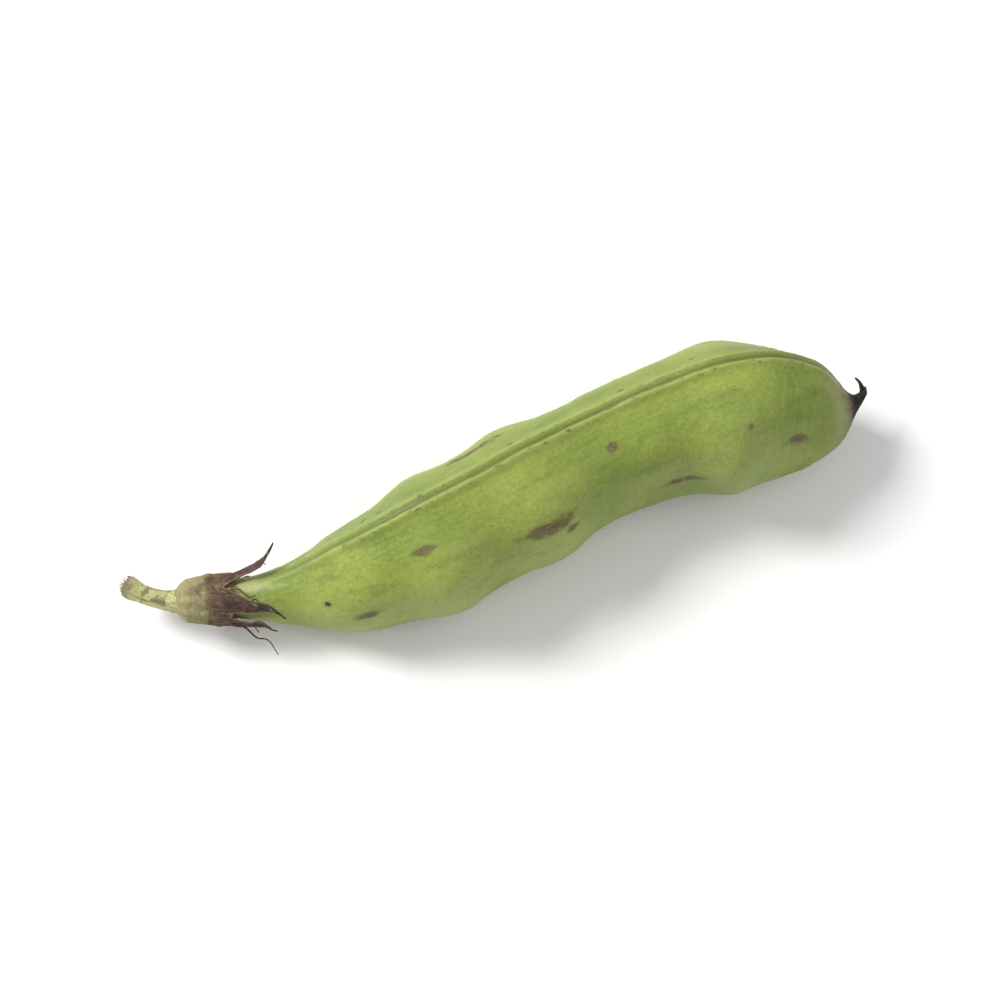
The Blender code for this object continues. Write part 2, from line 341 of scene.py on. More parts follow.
# Stalk: its path bends towards +Y, and its ends are wider than its middle.
STALK_LENGTH = 0.0112
STALK_BEND = math.radians(38.0)
STALK_DROP = 0.0012
STALK_RADII = (
    (0.00, 0.00245),
    (0.07, 0.00245),
    (0.20, 0.00200),
    (0.36, 0.00158),
    (0.75, 0.00150),
    (0.93, 0.00182),
    (1.00, 0.00176),
)
STALK_RIBS = 5
STALK_RIB_HEIGHT = 0.00016
STALK_RIBS_START = (0.1, 0.4)
STALK_RINGS = 120
STALK_AROUND = 110
STALK_GRAIN = 0.00010
STALK_GRAIN_SIZE = (0.0040, 0.0005, 0.0005)
STALK_TEAR = 0.0005
STALK_TEAR_SIZE = 0.0006
STALK_CUT_SLANT = 0.0007
STALK_CUT_FROM = 0.8
GAP = 0.0003

# Torn fibres at the stalk's end.
FIBRES = 26
FIBRE_ROOT = 0.985
FIBRE_WITHIN = (0.05, 0.88)
FIBRE_RADIUS = 0.00013
FIBRE_TAPER = 0.8
FIBRE_LENGTHS = (0.0004, 0.0013)
FIBRE_LEAN = 0.25
FIBRE_SIDES = 6
FIBRE_RINGS = 5
FIBRE_SEED = 7

# Camera, from the photograph: nearly straight down, with the pod rising to the right. A length of
# POD_CHORD fills this share of the picture's width.
POD_RISES = math.radians(16.2)
CAMERA_ELEVATION = math.radians(78.0)
CAMERA_LENS = 85.0
SENSOR = 36.0
POD_CHORD = 0.1314
POD_SHARE_OF_PICTURE = 0.78

# Floor and light: each lamp's place, size, power and colour.
FLOOR_SIZE = 6.0
FLOOR_TONE = 0.90
FLOOR_ROUGHNESS = 0.9
FLOOR_SPECULAR = 0.1
SKY_STRENGTH = 0.46
KEY_LIGHT = ((-1.36, 1.32, 1.72), 0.92, 72.0, (1.0, 0.99, 0.97))
FILL_LIGHT = ((1.20, -0.60, 2.00), 1.80, 12.0, (1.0, 1.0, 1.0))


def smooth_value(stations, at):
    """The curve through the (place, value) stations at each place in `at`, with no overshoot."""
    places, values = np.array(stations).T
    steps = np.diff(places)
    slopes = np.diff(values) / steps
    before, after = slopes[:-1], slopes[1:]
    same_way = before * after > 0.0
    total = np.where(same_way, before + after, 1.0)
    inner = np.where(same_way, 2.0 * before * after / total, 0.0)
    tangents = np.concatenate([slopes[:1], inner, slopes[-1:]])
    at = np.asarray(at, float)
    k = np.clip(np.searchsorted(places, at, side="right") - 1, 0, len(steps) - 1)
    step = steps[k]
    t = (at - places[k]) / step
    start = (1.0 + 2.0 * t) * (1.0 - t) ** 2 * values[k] + t * (1.0 - t) ** 2 * step * tangents[k]
    end = t * t * (3.0 - 2.0 * t) * values[k + 1] + t * t * (t - 1.0) * step * tangents[k + 1]
    return start + end


def smooth_step(low, high, at):
    t = np.clip((at - low) / (high - low), 0.0, 1.0)
    return t * t * (3.0 - 2.0 * t)


def hump(at, spread):
    """1 at 0, falling smoothly to 0 over a few spreads either way."""
    return np.exp(-((at / spread) ** 2))


def bezier(controls, t):
    """Points at the parameters t on the Bezier curve with these control points."""
    degree = len(controls) - 1
    t = np.asarray(t, float)[..., None]
    return sum(
        math.comb(degree, i) * (1.0 - t) ** (degree - i) * t**i * np.array(control)
        for i, control in enumerate(controls)
    )


CURVE_T = np.linspace(0.0, 1.0, CURVE_SAMPLES)
CURVE_STEPS = np.diff(bezier(CENTRELINE, CURVE_T), axis=0)
CURVE_RUN = np.concatenate([[0.0], np.cumsum(np.linalg.norm(CURVE_STEPS, axis=1))])
CURVE_LENGTH = CURVE_RUN[-1]


def in_plan(share):
    """Point and direction in plan at a share of the centreline, which is straight before 0."""
    share = np.asarray(share, float)
    t = np.interp(share * CURVE_LENGTH, CURVE_RUN, CURVE_T)
    slope = bezier(np.diff(CENTRELINE, axis=0), t)
    along = slope / np.linalg.norm(slope, axis=-1, keepdims=True)
    before = np.minimum(share, 0.0)[..., None] * CURVE_LENGTH
    return bezier(CENTRELINE, t) + before * along, along


def swelling(share, reach):
    """1 over a bean, falling towards 0 between beans."""
    return sum(fill * hump(share - place, reach) for place, fill in BEANS)


def body_share(share):
    """1 along the pod's body, 0 in its neck and its beak."""
    return smooth_step(*NECK_ENDS, share) * (1.0 - smooth_step(*BEAK_STARTS, share))


def section(share, angle, pinched):
    """Offsets towards the ventral side and up, before the roll. Angle 0 is the ventral seam."""
    half_width = smooth_value(WIDTH_STATIONS, share) / 2.0
    half_thickness = half_width * smooth_value(THICKNESS_STATIONS, share)
    in_body = body_share(share)
    slack = (1.0 - swelling(share, BEAN_REACH)) * in_body * pinched
    dome = DOME_HEIGHT * (swelling(share, DOME_REACH) - DOME_LEVEL) * in_body * pinched
    across = half_width * (1.0 - PINCH_WIDTH * slack) * np.cos(angle)
    up = half_thickness * np.sin(angle) * (1.0 + EGG * np.cos(angle) * in_body)
    up = up * (1.0 - PINCH_THICKNESS * slack * np.sin(angle) ** 2) + dome * np.sin(angle)
    return across, up


def rolled(share, across, up):
    roll = np.radians(smooth_value(ROLL_STATIONS, share))
    return across * np.cos(roll) - up * np.sin(roll), across * np.sin(roll) + up * np.cos(roll)


def centre_height(share):
    """Height of the centreline that leaves the underside at its rise, less what it settles."""
    share = np.asarray(share, float)
    angle = np.linspace(0.0, 2.0 * math.pi, SECTION_SAMPLES)
    within = np.clip(share, 0.0, 1.0)[..., None]
    lowest = rolled(within, *section(within, angle, 0.0))[1].min(axis=-1)
    return smooth_value(RISE_STATIONS, within[..., 0]) - SETTLE - lowest


def seam_size(share):
    """Near 1 where the pod is wide enough for the seams' full height, less towards its ends."""
    wide = smooth_value(WIDTH_STATIONS, share) / 2.0 / RIDGE_FULL_AT
    size = wide / (1.0 + wide**RIDGE_EASE) ** (1.0 / RIDGE_EASE)
    return size ** (NECK_FADE + (BEAK_FADE - NECK_FADE) * share)


def ridge_pair(up):
    """1 on each of the two ventral ridges."""
    apart = VENTRAL_RIDGE_APART / 2.0
    return hump(up - apart, RIDGE_SPREAD) + hump(up + apart, RIDGE_SPREAD)


def seam_relief(share, up, ventral):
    """How far the seam's crest and ridges stand out, by the distance up or down from the seam."""
    crest = VENTRAL_CREST_HEIGHT * hump(up, VENTRAL_CREST_SPREAD)
    low_crest = DORSAL_CREST_HEIGHT * hump(up, DORSAL_CREST_SPREAD)
    keel = DORSAL_KEEL_HEIGHT * hump(up, RIDGE_SPREAD)
    relief = np.where(ventral, crest + VENTRAL_RIDGE_HEIGHT * ridge_pair(up), low_crest + keel)
    return relief * seam_size(share)


def placed(share, across, up):
    """Points in space from offsets off the centreline, with the beak's tip hooked."""
    point, along = in_plan(share)
    hook = (np.clip(share - HOOK_FROM, 0.0, None) / (1.0 - HOOK_FROM)) ** 2
    shape = np.broadcast_shapes(np.shape(across), point.shape[:-1])
    across = np.broadcast_to(across, shape) + HOOK_ASIDE * hook
    up = np.broadcast_to(up, shape) + HOOK_UP * hook
    x = point[..., 0] - along[..., 1] * across
    y = point[..., 1] + along[..., 0] * across
    return np.stack([x, y, centre_height(share) + up], axis=-1)


def pod_grid(rings, around, crowding):
    """Shares, angles, straight offsets and points of a skin with this many rings and points."""
    u = np.linspace(0.0, 1.0, rings)[:, None]
    share = u - crowding * np.sin(2.0 * math.pi * u) / (2.0 * math.pi)
    turn = 2.0 * math.pi * np.arange(around) / around
    angle = turn - SEAM_CROWDING * np.sin(2.0 * turn) / 2.0
    across, up = section(share, angle, 1.0)
    ventral = np.cos(angle) > 0.0
    relief = seam_relief(share, up, ventral)
    across = across + np.where(ventral, relief, -relief)
    return share, angle, across, up, placed(share, *rolled(share, across, up))


# How far the frame is from the formulas' own place. The solid is cut flat at the surface.
SOLID_LOW = pod_grid(SOLID_RINGS, SOLID_AROUND, SOLID_CROWDING)[-1].min(axis=(0, 1))
SOLID_LOW[2] = max(SOLID_LOW[2], 0.0)
SHIFT = np.array(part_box("pod")[0]) - SOLID_LOW


def bumps(points, size, octaves=1, shift=0.0):
    """Smooth noise from about -1 to 1 at these points, with features of this size.

    The shift picks another stretch of the noise, so that each kind of relief has its own.
    """
    flat = ((points + shift) / np.asarray(size)).reshape(-1, 3)
    found = [noise.fractal(Vector(point), 1.0, 2.0, octaves) for point in flat]
    return np.array(found).reshape(points.shape[:-1])


def cell_walls(points, size, width):
    """1 on the walls of a net of cells of this size, falling to 0 within the cells."""
    flat = (points / np.asarray(size)).reshape(-1, 3)
    near = np.array([noise.voronoi(Vector(point))[0][:2] for point in flat])
    return np.exp(-(((near[:, 1] - near[:, 0]) / width) ** 2)).reshape(points.shape[:-1])


def outward(points):
    """Unit normals of a grid of points that closes round its second axis."""
    along = np.gradient(points, axis=0)
    around = np.roll(points, -1, axis=1) - np.roll(points, 1, axis=1)
    normal = np.cross(around, along)
    return normal / np.maximum(np.linalg.norm(normal, axis=-1, keepdims=True), 1e-12)


def grid_object(name, points, capped, attributes):
    """A mesh from rings of points, closed round, with a UV map and attributes at its vertices.

    It is capped at both ends, or joined end to end. Each attribute is a grid of numbers or of
    vectors.
    """
    rows, columns = points.shape[:2]
    index = np.arange(rows * columns).reshape(rows, columns)
    after = np.roll(index, -1, axis=1)
    last = rows - 1 if capped else rows
    row = np.arange(last)
    up = (row + 1) % rows
    quads = np.stack([index[row], after[row], after[up], index[up]], axis=-1).reshape(-1, 4)
    faces = quads.tolist()
    vertices = (points + SHIFT).reshape(-1, 3)
    if capped:
        middles = [vertices[index[0]].mean(axis=0), vertices[index[-1]].mean(axis=0)]
        start, end = rows * columns, rows * columns + 1
        vertices = np.concatenate([vertices, middles])
        faces += [[after[0, i], index[0, i], start] for i in range(columns)]
        faces += [[index[-1, i], after[-1, i], end] for i in range(columns)]
    mesh = bpy.data.meshes.new(name)
    mesh.from_pydata(vertices.tolist(), [], faces)
    for key, values in attributes.items():
        wide = values.ndim == 3
        flat = values.reshape(rows * columns, -1)
        if capped:
            flat = np.concatenate([flat, values[:1].mean(axis=1).reshape(1, -1)])
            flat = np.concatenate([flat, values[-1:].mean(axis=1).reshape(1, -1)])
        made = mesh.attributes.new(key, "FLOAT_VECTOR" if wide else "FLOAT", "POINT")
        made.data.foreach_set("vector" if wide else "value", flat.astype(np.float32).ravel())
    write_map(mesh, rows, columns, len(quads), capped)
    mesh.shade_smooth()
    mesh.validate()
    obj = bpy.data.objects.new(name, mesh)
    bpy.context.scene.collection.objects.link(obj)
    return obj


def write_map(mesh, rows, columns, quads, capped):
    """Unrolls the grid on to the whole of one map, with the caps' middles at its two edges."""
    layer = mesh.uv_layers.new(name="OFBake")
    cells = np.arange(quads)
    row, column = cells // columns, cells % columns
    high = MAP_EDGE + (1.0 - 2.0 * MAP_EDGE) * np.arange(rows + 1) / (rows - 1 if capped else rows)
    left, right = column / columns, (column + 1) / columns
    low, top = high[row], high[row + 1]
    corners = [(left, low), (right, low), (right, top), (left, top)]
    uv = [np.stack(corner, axis=-1) for corner in corners]
    uv = np.stack(uv, axis=1).reshape(-1, 2)
    if capped:
        i = np.arange(columns)
        caps = ((high[0], i + 1, i, 0.0), (high[rows - 1], i, i + 1, 1.0))
        for edge, first, second, tip in caps:
            corners = [(first, edge), (second, edge), (i + 0.5, tip)]
            cap = [np.stack([at / columns, np.full(columns, up)], axis=-1) for at, up in corners]
            uv = np.concatenate([uv, np.stack(cap, axis=1).reshape(-1, 2)])
    layer.uv.foreach_set("vector", uv.astype(np.float32).ravel())


class Nodes:
    """One material's nodes, each made by a short call that returns its output socket.

    Their vectors are in millimetres, so a noise of scale 0.5 has features about 2 mm across.
    """

    def __init__(self, name):
        self.material = bpy.data.materials.new(name)
        self.material.use_nodes = True
        self.tree = self.material.node_tree
        self.shader = self.tree.nodes["Principled BSDF"]

    def set(self, socket, value):
        if isinstance(value, bpy.types.NodeSocket):
            self.tree.links.new(value, socket)
        elif isinstance(value, tuple) and len(value) == 3 and socket.type == "RGBA":
            socket.default_value = (*value, 1.0)
        else:
            socket.default_value = value

    def add(self, kind, inputs, output=0, **settings):
        node = self.tree.nodes.new(kind)
        for key, value in settings.items():
            setattr(node, key, value)
        for key, value in inputs.items():
            self.set(node.inputs[key], value)
        return node.outputs[output]

    def attribute(self, name, output="Fac"):
        return self.add("ShaderNodeAttribute", {}, output, attribute_name=name)

    def stretch(self, vector, scale):
        return self.add("ShaderNodeVectorMath", {0: vector, 1: scale}, operation="MULTIPLY")

    def shifted(self, vector, by, amount):
        """The vector moved about by a noise's colour, which is grey on average."""
        grey = (0.5, 0.5, 0.5)
        centred = self.add("ShaderNodeVectorMath", {0: by, 1: grey}, operation="SUBTRACT")
        scaled = self.add("ShaderNodeVectorMath", {0: centred, "Scale": amount}, operation="SCALE")
        return self.add("ShaderNodeVectorMath", {0: vector, 1: scaled}, operation="ADD")

    def noise(self, vector, scale, detail=2.0, roughness=0.5, output=0):
        inputs = {"Vector": vector, "Scale": scale, "Detail": detail, "Roughness": roughness}
        return self.add("ShaderNodeTexNoise", inputs, output)

    def cells(self, vector, scale, feature="F1", output="Distance"):
        inputs = {"Vector": vector, "Scale": scale}
        return self.add("ShaderNodeTexVoronoi", inputs, output, feature=feature)

    def span(self, value, low, high, first=0.0, last=1.0, smooth=True):
        """The value from low to high turned into first to last, and held beyond them."""
        inputs = {"Value": value, "From Min": low, "From Max": high}
        inputs |= {"To Min": first, "To Max": last}
        kind = "SMOOTHSTEP" if smooth else "LINEAR"
        return self.add("ShaderNodeMapRange", inputs, interpolation_type=kind)

    def math(self, operation, first, second):
        return self.add("ShaderNodeMath", {0: first, 1: second}, operation=operation)

    def times(self, first, second):
        return self.math("MULTIPLY", first, second)

    def plus(self, first, second):
        return self.math("ADD", first, second)

    def mix(self, factor, first, second, kind="MIX"):
        inputs = {0: factor, 6: first, 7: second}
        return self.add("ShaderNodeMix", inputs, 2, data_type="RGBA", blend_type=kind)

    def part(self, vector, axis):
        return self.add("ShaderNodeSeparateXYZ", {0: vector}, axis)

    def bump(self, height, distance):
        inputs = {"Height": height, "Distance": distance, "Strength": 1.0}
        return self.add("ShaderNodeBump", inputs)


# Gloss of the pod's skin, how deep light goes into it, and how high its finest relief stands.
SKIN_ROUGHNESS = (0.44, 0.58)
DRY_ROUGHNESS = 0.32
SKIN_SPECULAR = 0.38
SKIN_COAT = 0.10
SKIN_COAT_ROUGHNESS = 0.30
SKIN_DEPTH_WEIGHT = 0.12
SKIN_DEPTH_RADIUS = (0.8, 1.0, 0.25)
SKIN_DEPTH = 0.0012
SKIN_BUMP = 0.000075

# Colours of the pod's skin.
DEEP_GREEN = (0.100, 0.165, 0.020)
MID_GREEN = (0.190, 0.258, 0.034)
YELLOW_GREEN = (0.285, 0.338, 0.052)
PALE_GREEN = (0.370, 0.420, 0.140)
GROOVE_GREEN = (0.060, 0.085, 0.014)
RIDGE_STRAW = (0.350, 0.370, 0.110)
DOT_GREEN = (0.060, 0.095, 0.020)
FLECK_BROWN = (0.095, 0.060, 0.022)
SPOT_BROWN = (0.030, 0.020, 0.011)
SPOT_HALO = (0.160, 0.165, 0.040)
SCAR_BROWN = (0.120, 0.078, 0.048)
SCAR_STRAW = (0.215, 0.150, 0.085)
SCAR_RIM = (0.130, 0.105, 0.040)
NECK_STRAW = (0.470, 0.470, 0.200)
NECK_PURPLE = (0.120, 0.075, 0.055)
BEAK_OLIVE = (0.250, 0.245, 0.060)
BEAK_BROWN = (0.130, 0.085, 0.030)
BEAK_BLACK = (0.016, 0.011, 0.008)


def pod_skin_material():
    """Satin green skin: drifting greens, a faint net of veins, brown flecks, spots and scars."""
    n = Nodes("pod_skin_fine")
    flesh = n.attribute("flesh", "Vector")
    share = n.attribute("share")
    warp = n.noise(flesh, 0.55, 3.0, 0.55, "Color")
    wavy = n.shifted(flesh, warp, 1.4)

    # Greens that drift along the pod, deeper in streaks and paler over the beans.
    drift = n.span(n.noise(flesh, 0.055, 3.0, 0.5), 0.36, 0.66)
    colour = n.mix(drift, MID_GREEN, YELLOW_GREEN)
    streaks = n.noise(n.stretch(wavy, (0.07, 0.42, 0.42)), 1.0, 4.0, 0.55)
    colour = n.mix(n.times(n.span(streaks, 0.48, 0.72), 0.55), colour, DEEP_GREEN)
    crown = n.times(n.attribute("crown"), 0.34)
    colour = n.mix(crown, colour, PALE_GREEN)

    # A pale net of veins, a fine mottle, and pale and dark points.
    net = n.cells(n.stretch(wavy, (0.34, 0.50, 0.50)), 1.0, "DISTANCE_TO_EDGE")
    veins = n.span(net, 0.0, 0.085, 1.0, 0.0)
    veiny = n.span(n.noise(flesh, 0.16, 2.0), 0.36, 0.66, 0.03, 0.17)
    colour = n.mix(n.times(veins, veiny), colour, PALE_GREEN)
    mottle = n.noise(wavy, 1.5, 5.0, 0.62)
    colour = n.mix(1.0, colour, n.span(mottle, 0.25, 0.75, 0.86, 1.13), "MULTIPLY")
    dots = n.cells(flesh, 1.35)
    colour = n.mix(n.times(n.span(dots, 0.10, 0.22, 1.0, 0.0), 0.30), colour, PALE_GREEN)
    pits = n.noise(flesh, 4.2, 3.0, 0.7)
    colour = n.mix(n.times(n.span(pits, 0.56, 0.70), 0.35), colour, DEEP_GREEN)

    # The seams: a dark groove, and straw ridges with brown flecks.
    flecks = n.noise(n.stretch(wavy, (0.55, 1.6, 1.6)), 1.0, 4.0, 0.6)
    ridge = n.attribute("ridge")
    colour = n.mix(n.times(n.attribute("groove"), 0.85), colour, GROOVE_GREEN)
    colour = n.mix(n.times(ridge, 0.45), colour, RIDGE_STRAW)
    flecked = n.times(n.span(ridge, 0.25, 0.8), n.span(flecks, 0.56, 0.66))
    colour = n.mix(n.times(flecked, 0.75), colour, FLECK_BROWN)

    # A few dark spots, each with a halo. Chance leaves most cells without one.
    chance = n.part(n.cells(wavy, 0.17, output="Color"), 0)
    spot_at = n.cells(wavy, 0.17)
    radius = n.span(chance, 0.62, 1.0, 0.0, 0.12, smooth=False)
    halo = n.span(n.math("SUBTRACT", spot_at, radius), 0.0, 0.10, 1.0, 0.0)
    spot = n.span(n.math("SUBTRACT", spot_at, radius), -0.03, 0.012, 1.0, 0.0)
    here = n.span(chance, 0.62, 0.66)
    spot = n.times(spot, here)
    colour = n.mix(n.times(n.times(halo, here), 0.35), colour, SPOT_HALO)
    colour = n.mix(n.times(spot, 0.92), colour, SPOT_BROWN)

    # Painted shade: a darker band beside the ventral seam, with the skin's own dark dots in it.
    dotted_shade_band = n.attribute("dotted_shade_band")
    # Darkening the band towards deep green is painted shade on the seam's far facet.
    colour = n.mix(n.times(dotted_shade_band, 0.36), colour, DEEP_GREEN)
    along = n.stretch(wavy, (0.26, 0.40, 0.40))
    dot_chance = n.part(n.cells(along, 1.0, output="Color"), 2)
    dotted = n.span(n.cells(along, 1.0), 0.10, 0.26, 1.0, 0.0)
    dotted = n.times(dotted, n.span(dot_chance, 0.35, 0.45))
    colour = n.mix(n.times(n.times(dotted, n.span(dotted_shade_band, 0.3, 0.8)), 0.78), colour, DOT_GREEN)

    # Small brown grit in patches.
    grit_chance = n.part(n.cells(flesh, 0.62, output="Color"), 1)
    grit = n.span(n.cells(flesh, 0.62), 0.07, 0.15, 1.0, 0.0)
    grit = n.times(grit, n.span(grit_chance, 0.80, 0.84))
    grit = n.times(grit, n.span(n.noise(flesh, 0.12, 2.0), 0.50, 0.62))
    colour = n.mix(n.times(grit, 0.8), colour, FLECK_BROWN)

    # The scars: a halo, a brown rim and a grained core.
    grain = n.noise(n.stretch(wavy, (1.1, 2.6, 2.6)), 1.0, 5.0, 0.65)
    scar = n.plus(n.attribute("scar"), n.times(n.math("SUBTRACT", grain, 0.5), 0.60))
    scar = n.times(scar, n.span(n.attribute("scar"), 0.02, 0.20))
    scar_rim = n.span(scar, 0.28, 0.52)
    scar_core = n.span(scar, 0.48, 0.80)
    colour = n.mix(n.times(n.span(scar, 0.08, 0.34), 0.45), colour, SPOT_HALO)
    colour = n.mix(n.times(scar_rim, 0.70), colour, SCAR_RIM)
    browns = n.mix(n.span(grain, 0.40, 0.62), SCAR_BROWN, SCAR_STRAW)
    colour = n.mix(n.times(scar_core, 0.80), colour, browns)

    # The ends: straw and purple at the neck, and olive, brown and black towards the beak's tip.
    ragged = n.times(n.math("SUBTRACT", n.noise(wavy, 0.45, 4.0, 0.6), 0.5), 0.06)
    from_neck = n.plus(share, ragged)
    colour = n.mix(n.span(from_neck, 0.04, 0.14, 0.70, 0.0), colour, NECK_STRAW)
    colour = n.mix(n.span(from_neck, 0.03, 0.08, 0.85, 0.0), colour, NECK_PURPLE)
    to_beak = n.plus(share, n.times(ragged, 0.35))
    colour = n.mix(n.span(to_beak, 0.910, 0.956, 0.0, 0.55), colour, BEAK_OLIVE)
    colour = n.mix(n.span(to_beak, 0.950, 0.974, 0.0, 0.92), colour, BEAK_BROWN)
    beak = n.span(to_beak, 0.967, 0.982)
    colour = n.mix(beak, colour, BEAK_BLACK)
    n.set(n.shader.inputs["Base Color"], colour)

    # Spots, scars and the beak are dry, and so rougher and crusted.
    dry = n.math("MAXIMUM", n.math("MAXIMUM", spot, scar_rim), beak)
    rough = n.span(mottle, 0.2, 0.8, *SKIN_ROUGHNESS)
    rough = n.plus(rough, n.times(dry, DRY_ROUGHNESS))
    n.set(n.shader.inputs["Roughness"], rough)

    pores = n.noise(flesh, 5.5, 3.0, 0.6)
    fine = n.plus(n.times(pores, 0.45), n.noise(wavy, 1.9, 4.0, 0.6))
    fine = n.plus(fine, n.times(veins, 0.16))
    crust = n.times(n.times(n.noise(flesh, 3.2, 5.0, 0.7), dry), 1.6)
    n.set(n.shader.inputs["Normal"], n.bump(n.plus(fine, crust), SKIN_BUMP))
    n.shader.inputs["Specular IOR Level"].default_value = SKIN_SPECULAR
    n.shader.inputs["Subsurface Weight"].default_value = SKIN_DEPTH_WEIGHT
    n.shader.inputs["Subsurface Radius"].default_value = SKIN_DEPTH_RADIUS
    n.shader.inputs["Subsurface Scale"].default_value = SKIN_DEPTH
    n.shader.inputs["Coat Weight"].default_value = SKIN_COAT
    n.shader.inputs["Coat Roughness"].default_value = SKIN_COAT_ROUGHNESS
    return n.material


# Relief, gloss and colours of the calyx and the stalk.
CALYX_BUMP = 0.00011
CALYX_ROUGHNESS = (0.62, 0.88)
CALYX_SPECULAR = 0.30
STALK_BUMP = 0.00009
STALK_ROUGHNESS = (0.48, 0.74)
STALK_SPECULAR = 0.35
CALYX_STRAW = (0.290, 0.262, 0.128)
CALYX_UMBER = (0.105, 0.062, 0.038)
CALYX_PURPLE = (0.060, 0.032, 0.030)
CALYX_BLACK = (0.014, 0.010, 0.009)
CALYX_PALE = (0.330, 0.250, 0.150)
STALK_GREEN = (0.330, 0.370, 0.130)
STALK_STRAW = (0.500, 0.460, 0.260)
STALK_UMBER = (0.130, 0.085, 0.045)
STALK_CUT = (0.215, 0.165, 0.100)


def calyx_skin_material():
    """Papery and withered: straw-green at its foot, purple-brown above, black at its tips."""
    n = Nodes("calyx_skin_fine")
    sheet = n.attribute("sheet", "Vector")
    height = n.attribute("height")
    warp = n.noise(sheet, 0.9, 3.0, 0.55, "Color")
    wavy = n.shifted(sheet, warp, 0.9)
    patches = n.times(n.math("SUBTRACT", n.noise(wavy, 0.55, 4.0, 0.6), 0.5), 0.55)
    ragged = n.plus(height, patches)
    colour = n.mix(n.span(ragged, 0.13, 0.38), CALYX_STRAW, CALYX_UMBER)
    colour = n.mix(n.span(ragged, 0.36, 0.58), colour, CALYX_PURPLE)
    colour = n.mix(n.span(ragged, 0.72, 0.92), colour, CALYX_BLACK)
    threads = n.noise(n.stretch(wavy, (0.35, 3.4, 3.4)), 1.0, 4.0, 0.6)
    colour = n.mix(n.times(n.span(threads, 0.52, 0.68), 0.45), colour, CALYX_PALE)
    colour = n.mix(n.times(n.attribute("margin"), 0.55), colour, CALYX_PALE)
    mottle = n.noise(wavy, 2.4, 5.0, 0.65)
    colour = n.mix(1.0, colour, n.span(mottle, 0.25, 0.75, 0.72, 1.25), "MULTIPLY")
    n.set(n.shader.inputs["Base Color"], colour)
    n.set(n.shader.inputs["Roughness"], n.span(mottle, 0.2, 0.8, *CALYX_ROUGHNESS))
    fine = n.plus(n.times(threads, 0.9), n.times(n.noise(sheet, 6.0, 4.0, 0.65), 0.6))
    n.set(n.shader.inputs["Normal"], n.bump(fine, CALYX_BUMP))
    n.shader.inputs["Specular IOR Level"].default_value = CALYX_SPECULAR
    return n.material


def stalk_skin_material():
    """Pale green, ribbed and stained, with a brown, fibrous end."""
    n = Nodes("stalk_skin_fine")
    grain = n.attribute("grain", "Vector")
    height = n.attribute("height")
    warp = n.noise(grain, 0.8, 3.0, 0.5, "Color")
    wavy = n.shifted(grain, warp, 0.6)
    threads = n.noise(n.stretch(wavy, (0.30, 2.8, 2.8)), 1.0, 5.0, 0.6)
    colour = n.mix(n.span(threads, 0.38, 0.62), STALK_GREEN, STALK_STRAW)
    stains = n.noise(wavy, 0.42, 4.0, 0.62)
    colour = n.mix(n.times(n.span(stains, 0.53, 0.63), 0.75), colour, STALK_UMBER)
    ragged = n.plus(height, n.times(n.math("SUBTRACT", stains, 0.5), 0.5))
    colour = n.mix(n.span(ragged, 0.80, 0.97), colour, STALK_CUT)
    colour = n.mix(n.times(n.span(threads, 0.60, 0.68), 0.6), colour, STALK_UMBER)
    mottle = n.noise(wavy, 3.0, 5.0, 0.65)
    colour = n.mix(1.0, colour, n.span(mottle, 0.25, 0.75, 0.78, 1.18), "MULTIPLY")
    n.set(n.shader.inputs["Base Color"], colour)
    n.set(n.shader.inputs["Roughness"], n.span(mottle, 0.2, 0.8, *STALK_ROUGHNESS))
    n.set(n.shader.inputs["Normal"], n.bump(n.plus(threads, n.times(mottle, 0.5)), STALK_BUMP))
    n.shader.inputs["Specular IOR Level"].default_value = STALK_SPECULAR
    return n.material


def scars(share, angle, straight):
    """1 in the middle of a dark scar, falling to 0 at its ragged edge."""
    half_width = smooth_value(WIDTH_STATIONS, share) / 2.0
    found = np.zeros_like(angle)
    for place, turn, along, across, dark in SCARS:
        ahead = (share - place) * CURVE_LENGTH / along
        beside = np.angle(np.exp(1j * (angle - turn))) * half_width / across
        found = np.maximum(found, dark * np.exp(-0.5 * (ahead**2 + beside**2)))
    ragged = 1.0 + SCAR_RAG * bumps(straight, SCAR_RAG_SIZE, 3, shift=0.77)
    return np.clip(found * ragged, 0.0, 1.0)


